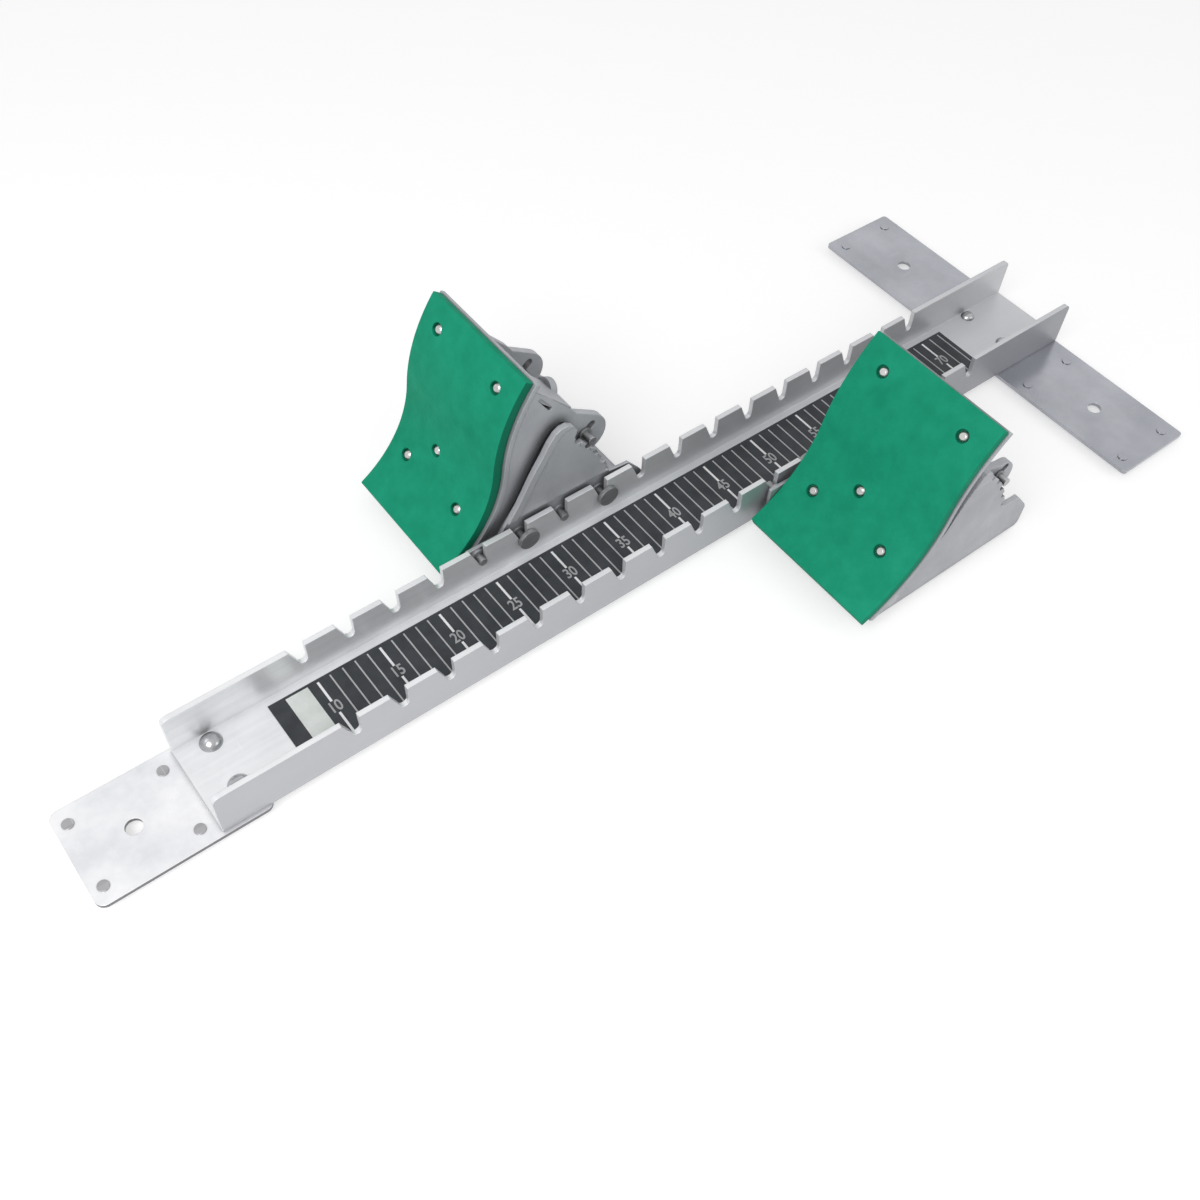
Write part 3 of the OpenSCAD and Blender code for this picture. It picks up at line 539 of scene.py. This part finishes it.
# The third colour is that of the painted shade
pad_rubber = rubber("pad_rubber", (0.002, 0.250, 0.136), (0.006, 0.330, 0.190), (0.001, 0.150, 0.083))
finishes["pad_rubber"] = pad_rubber
print("rubber:", pad_rubber.name)

# %% [markdown]
# ## Pads
# A pad's face is two arcs that run into each other: a hollow below, where the ball of
# the foot presses, and a crest above. Spinning a straight edge about each arc's centre
# draws exactly that. Solidify then gives the rubber its thickness, Bevel rounds the
# mould's edges, and a boolean with turned plugs sinks the screws. Bending a box would
# be quicker, but its arcs would only be near the plate's.

# %% Sizes of the pads, as on the frame
PAD_LENGTH, PAD_THICKNESS = 170 * MM, 8 * MM
PAD_OUTER = 163.5 * MM
PIVOT_BACK, PIVOT_UP = 30.5 * MM, 17 * MM
FLARE, OGEE, CREST = (math.radians(a) for a in (32, 22, 10.5))
SCREW_SINK, SCREW_ROOM = 3.5 * MM, 5 * MM

hollow_rise = math.sin(FLARE) + math.sin(OGEE)
crest_rise = math.sin(OGEE) + math.sin(CREST)
crest_ratio = (math.cos(OGEE) - math.cos(FLARE)) / (math.cos(CREST) - math.cos(OGEE))
hollow_radius = PAD_LENGTH / (hollow_rise + crest_ratio * crest_rise)
crest_radius = hollow_radius * crest_ratio
hollow_centre = (PIVOT_BACK + hollow_radius * math.cos(FLARE),
                 hollow_radius * math.sin(FLARE) - PIVOT_UP)
crest_centre = (PIVOT_BACK - crest_radius * math.cos(CREST),
                PAD_LENGTH - crest_radius * math.sin(CREST) - PIVOT_UP)
print("hollow radius", round(hollow_radius / MM, 1), "mm, crest radius", round(crest_radius / MM, 1), "mm")

# %% A pedal's own place
PEDALS = {
    "right": dict(side=-1, tilt=63.0, inner=51 * MM,
                  screws=((40, 76.78), (40, 143.72), (63, 117.25), (150.5, 72.62), (150.5, 144.28))),
    "left": dict(side=1, tilt=56.0, inner=43 * MM,
                 screws=((44, 64.9), (44, 136.6), (67.5, 96.25), (149.5, 64.87), (149.5, 141.63))),
}
for pedal in PEDALS.values():
    pedal["width"] = PAD_OUTER - pedal["inner"]
    pedal["middle"] = (PAD_OUTER + pedal["inner"]) / 2
for joint in frame["joints"]:
    for name, pedal in PEDALS.items():
        if joint["name"] == name + "_tilt":
            pedal["pivot"] = Vector(joint["pos_m"])


def pedal_frame(pedal):
    """Matrix from a pad drawn upright, with the tilting axis at the origin, to its place."""
    lean = Matrix.Rotation(math.radians(pedal["tilt"] - 90), 4, "Y")
    middle = Vector((0, pedal["side"] * pedal["middle"], 0))
    return Matrix.Translation(pedal["pivot"] + middle) @ lean


def face_point(height):
    """Place and slope of the pad's face at a height along its chord."""
    hollow_top = hollow_radius * hollow_rise
    if height < hollow_top:
        slope = math.asin(height / hollow_radius - math.sin(FLARE))
        x = hollow_centre[0] - hollow_radius * math.cos(slope)
        return x, hollow_centre[1] + hollow_radius * math.sin(slope), slope
    slope = math.asin(math.sin(OGEE) - (height - hollow_top) / crest_radius)
    x = crest_centre[0] + crest_radius * math.cos(slope)
    return x, crest_centre[1] - crest_radius * math.sin(slope), slope


print("face leans", round(math.degrees(face_point(PAD_LENGTH / 2)[2]), 1), "degrees half way up")

# %% Tools for shaping
def alone(obj):
    bpy.ops.object.select_all(action="DESELECT")
    obj.select_set(True)
    bpy.context.view_layer.objects.active = obj


def select_parts(obj, kind, parts, test):
    """Selects the faces or points that pass the test, and leaves the object in edit mode."""
    bpy.ops.object.mode_set(mode="EDIT")
    bpy.ops.mesh.select_mode(type=kind)
    bpy.ops.mesh.select_all(action="DESELECT")
    bpy.ops.object.mode_set(mode="OBJECT")
    for part in parts:
        part.select = test(part)
    bpy.ops.object.mode_set(mode="EDIT")


def apply(obj, kind, **values):
    """Adds a modifier with these settings and applies it."""
    alone(obj)
    modifier = obj.modifiers.new(kind.lower(), kind)
    for name, value in values.items():
        setattr(modifier, name, value)
    bpy.ops.object.modifier_apply(modifier=modifier.name)


def settle(obj):
    """Puts the object's place into its mesh."""
    alone(obj)
    bpy.ops.object.transform_apply(location=True, rotation=True, scale=True)


print("shaping tools ready")

# %% Screw plugs that are cut out of the rubber
PLUG_SIDES, PLUG_FLARE, PLUG_TOP = 40, 0.5 * MM, 2 * MM
UPWARD = 0.9


def screw_plug(place):
    """A turned plug with a flared mouth, that sinks one screw's head."""
    bpy.ops.object.select_all(action="DESELECT")
    bpy.ops.mesh.primitive_cylinder_add(vertices=PLUG_SIDES, radius=SCREW_ROOM, depth=SCREW_SINK,
                                        location=(0, 0, -SCREW_SINK / 2 - PLUG_FLARE))
    plug = bpy.context.object
    settle(plug)
    for rise, wider in ((2 * PLUG_FLARE, 1.2), (PLUG_TOP, 1.0)):
        select_parts(plug, "FACE", plug.data.polygons, lambda face: face.normal.z > UPWARD)
        bpy.ops.mesh.extrude_region_move(TRANSFORM_OT_translate={"value": (0, 0, rise)})
        bpy.ops.transform.resize(value=(wider, wider, 1.0))
        bpy.ops.object.mode_set(mode="OBJECT")
    plug.matrix_world = place
    settle(plug)
    return plug


print("plugs are", 2 * SCREW_ROOM / MM, "mm wide")

# %% Spin the face and thicken it
HOLLOW_STEPS, CREST_STEPS = 48, 28


def spun_sheet(name, width):
    """The pad upright at the origin: an edge across it, spun up the hollow and over the crest."""
    bpy.ops.object.select_all(action="DESELECT")
    start = face_point(0)
    bpy.ops.mesh.primitive_plane_add(size=width, location=(start[0], 0, start[1]))
    pad = bpy.context.object
    pad.name = name
    settle(pad)
    # One edge across the pad is kept of the plane
    select_parts(pad, "VERT", pad.data.vertices, lambda point: point.co.x < start[0])
    bpy.ops.mesh.delete(type="VERT")
    bpy.ops.mesh.select_all(action="SELECT")
    bpy.ops.transform.translate(value=(-width / 2, 0, 0))
    bpy.ops.mesh.spin(steps=HOLLOW_STEPS, angle=-(FLARE + OGEE), axis=(0, 1, 0),
                      center=(hollow_centre[0], 0, hollow_centre[1]))
    bpy.ops.mesh.spin(steps=CREST_STEPS, angle=OGEE + CREST, axis=(0, 1, 0),
                      center=(crest_centre[0], 0, crest_centre[1]))
    bpy.ops.mesh.select_all(action="SELECT")
    bpy.ops.mesh.remove_doubles(threshold=1e-6)
    bpy.ops.mesh.normals_make_consistent(inside=False)
    bpy.ops.object.mode_set(mode="OBJECT")
    if sum(face.normal.x for face in pad.data.polygons) < 0:
        bpy.ops.object.mode_set(mode="EDIT")
        bpy.ops.mesh.select_all(action="SELECT")
        bpy.ops.mesh.flip_normals()
        bpy.ops.object.mode_set(mode="OBJECT")
    apply(pad, "SOLIDIFY", thickness=PAD_THICKNESS, offset=-1)
    return pad


print("a pad is spun in", HOLLOW_STEPS + CREST_STEPS, "steps")

# %% Sink the screws, round the edges, and set the pads on their pedals
PAD_EDGE = 0.9 * MM
SHARP_FROM, SMOOTH_TO = math.radians(50), math.radians(28)


def make_pad(name, pedal):
    pad = spun_sheet(name + "_pad_rubber", pedal["width"])
    apply(pad, "BEVEL", width=PAD_EDGE, segments=3, limit_method="ANGLE", angle_limit=SHARP_FROM)
    for height, reach in pedal["screws"]:
        x, z, slope = face_point(height * MM)
        y = pedal["side"] * (reach * MM - pedal["middle"])
        plug = screw_plug(Matrix.Translation((x, y, z)) @ Matrix.Rotation(math.pi / 2 + slope, 4, "Y"))
        apply(pad, "BOOLEAN", operation="DIFFERENCE", solver="EXACT", object=plug)
        bpy.data.objects.remove(plug)
    pad.data.transform(pedal_frame(pedal))
    alone(pad)
    bpy.ops.object.shade_smooth_by_angle(angle=SMOOTH_TO)
    pad.data.materials.clear()
    pad.data.materials.append(pad_rubber)
    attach(pad, name + "_foot")
    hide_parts(name + "_pad")
    low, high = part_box(name + "_pad")
    print(pad.name, len(pad.data.polygons), "faces; frame's pad is",
          [round((b - a) / MM, 1) for a, b in zip(low, high)], "mm, this one",
          [round(d / MM, 1) for d in pad.dimensions])


for name, pedal in PEDALS.items():
    make_pad(name, pedal)

# %% [markdown]
# ## Marks of the scale
# On the real strip the lines are printed. Here each is a film a tenth of a millimetre
# high with softened edges, so that the mark is there in the mesh too and doesn't
# flicker against the strip. A thin line stands every 10 mm. Every 50 mm a heavy line is
# broken in the middle by its distance along the rail in centimetres.

# %% Sizes of the marks
FILM_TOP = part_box("scale_strip")[1].z
STRIP_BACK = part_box("scale_strip")[0].x
PRINT = 0.1 * MM
PRINT_EDGE = PRINT / 2.5
HEAVY_FIRST, HEAVY_STEP, FINE_STEP = 259.2 * MM, 50 * MM, 10 * MM
HEAVY_COUNT, FINE_COUNT, FINE_PER_HEAVY = 13, 63, 5
HEAVY_WIDTH, FINE_WIDTH = 1.8 * MM, 1.1 * MM
LINE_REACH, HEAVY_REACH = 24.6 * MM, 24 * MM
NUMBER_FAR, NUMBER_NEAR = -5 * MM, 5.6 * MM
STRIP_MARGIN = 3 * MM
PATCH_BACK, PATCH_FRONT = 266.8 * MM, 284 * MM
print("the strip's film ends at x =", round(STRIP_BACK / MM, 1), "mm, top at", round(FILM_TOP / MM, 2), "mm")

# %% One mark, its copies, and many as one piece
def mark(name, x0, x1, y0, y1):
    """A thin printed patch with softened corners, standing on the strip."""
    bpy.ops.object.select_all(action="DESELECT")
    middle = ((x0 + x1) / 2, (y0 + y1) / 2, FILM_TOP + PRINT / 2)
    bpy.ops.mesh.primitive_cube_add(size=1, location=middle, scale=(x1 - x0, y1 - y0, PRINT))
    piece = bpy.context.object
    piece.name = name
    settle(piece)
    apply(piece, "BEVEL", width=PRINT_EDGE, segments=2, limit_method="ANGLE")
    return piece


def shifted(piece, x):
    """A copy with its own mesh, moved along the rail."""
    twin = piece.copy()
    twin.data = piece.data.copy()
    twin.data.transform(Matrix.Translation((x, 0, 0)))
    bpy.context.collection.objects.link(twin)
    return twin


def joined(name, pieces, finish):
    """One piece of many marks, which rides on the frame."""
    bpy.ops.object.select_all(action="DESELECT")
    for piece in pieces:
        piece.select_set(True)
    bpy.context.view_layer.objects.active = pieces[0]
    if len(pieces) > 1:
        bpy.ops.object.join()
    whole = bpy.context.object
    whole.name = name
    whole.data.materials.clear()
    whole.data.materials.append(finish)
    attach(whole, "frame")
    print(name, len(pieces), "pieces,", len(whole.data.polygons), "faces")


print("a mark is", PRINT / MM, "mm high")

# %% Heavy and fine lines
heavy_places = [HEAVY_FIRST - i * HEAVY_STEP for i in range(HEAVY_COUNT)]
fine_places = [HEAVY_FIRST - i * FINE_STEP for i in range(1, FINE_COUNT) if i % FINE_PER_HEAVY]
far_half = mark("far_half", -HEAVY_WIDTH / 2, HEAVY_WIDTH / 2, -HEAVY_REACH, NUMBER_FAR)
near_half = mark("near_half", -HEAVY_WIDTH / 2, HEAVY_WIDTH / 2, NUMBER_NEAR, HEAVY_REACH)
heavy = [shifted(half, x) for half in (far_half, near_half) for x in heavy_places]
fine_line = mark("fine_line", -FINE_WIDTH / 2, FINE_WIDTH / 2, -LINE_REACH, LINE_REACH)
fine = [shifted(fine_line, x) for x in fine_places if x > STRIP_BACK + STRIP_MARGIN]
for pattern in (far_half, near_half, fine_line):
    bpy.data.objects.remove(pattern)
joined("scale_heavy_lines", heavy, line_print)
joined("scale_fine_lines", fine, fine_print)

# %% Distances in centimetres
DIGIT_HEIGHT, DIGIT_THICKER, DIGIT_ASIDE = 9 * MM, 0.2 * MM, 0.3 * MM
CAP_SHARE, DIGIT_NARROWING = 0.7, 0.78
FIRST_CM, STEP_CM = 10, 5


def number(value, x):
    bpy.ops.object.select_all(action="DESELECT")
    bpy.ops.object.text_add(location=(0, 0, 0))
    text = bpy.context.object
    text.data.body = str(value)
    text.data.size = DIGIT_HEIGHT / CAP_SHARE
    text.data.align_x, text.data.align_y = "CENTER", "CENTER"
    text.data.extrude = PRINT / 2
    text.data.offset = DIGIT_THICKER
    text.data.resolution_u = 4
    bpy.ops.object.convert(target="MESH")
    digits = bpy.context.object
    digits.name = f"number_{value}"
    narrow = Matrix.Diagonal((DIGIT_NARROWING, 1.0, 1.0, 1.0))
    place = Matrix.Translation((x, DIGIT_ASIDE, FILM_TOP + PRINT / 2))
    digits.data.transform(place @ Matrix.Rotation(math.pi, 4, "Z") @ narrow)
    return digits


joined("scale_numbers", [number(FIRST_CM + STEP_CM * i, x) for i, x in enumerate(heavy_places)], number_print)

# %% Bare patch at the front end
patch = mark("patch", PATCH_BACK, PATCH_FRONT, -LINE_REACH, LINE_REACH)
joined("scale_patch", [patch], patch_print)
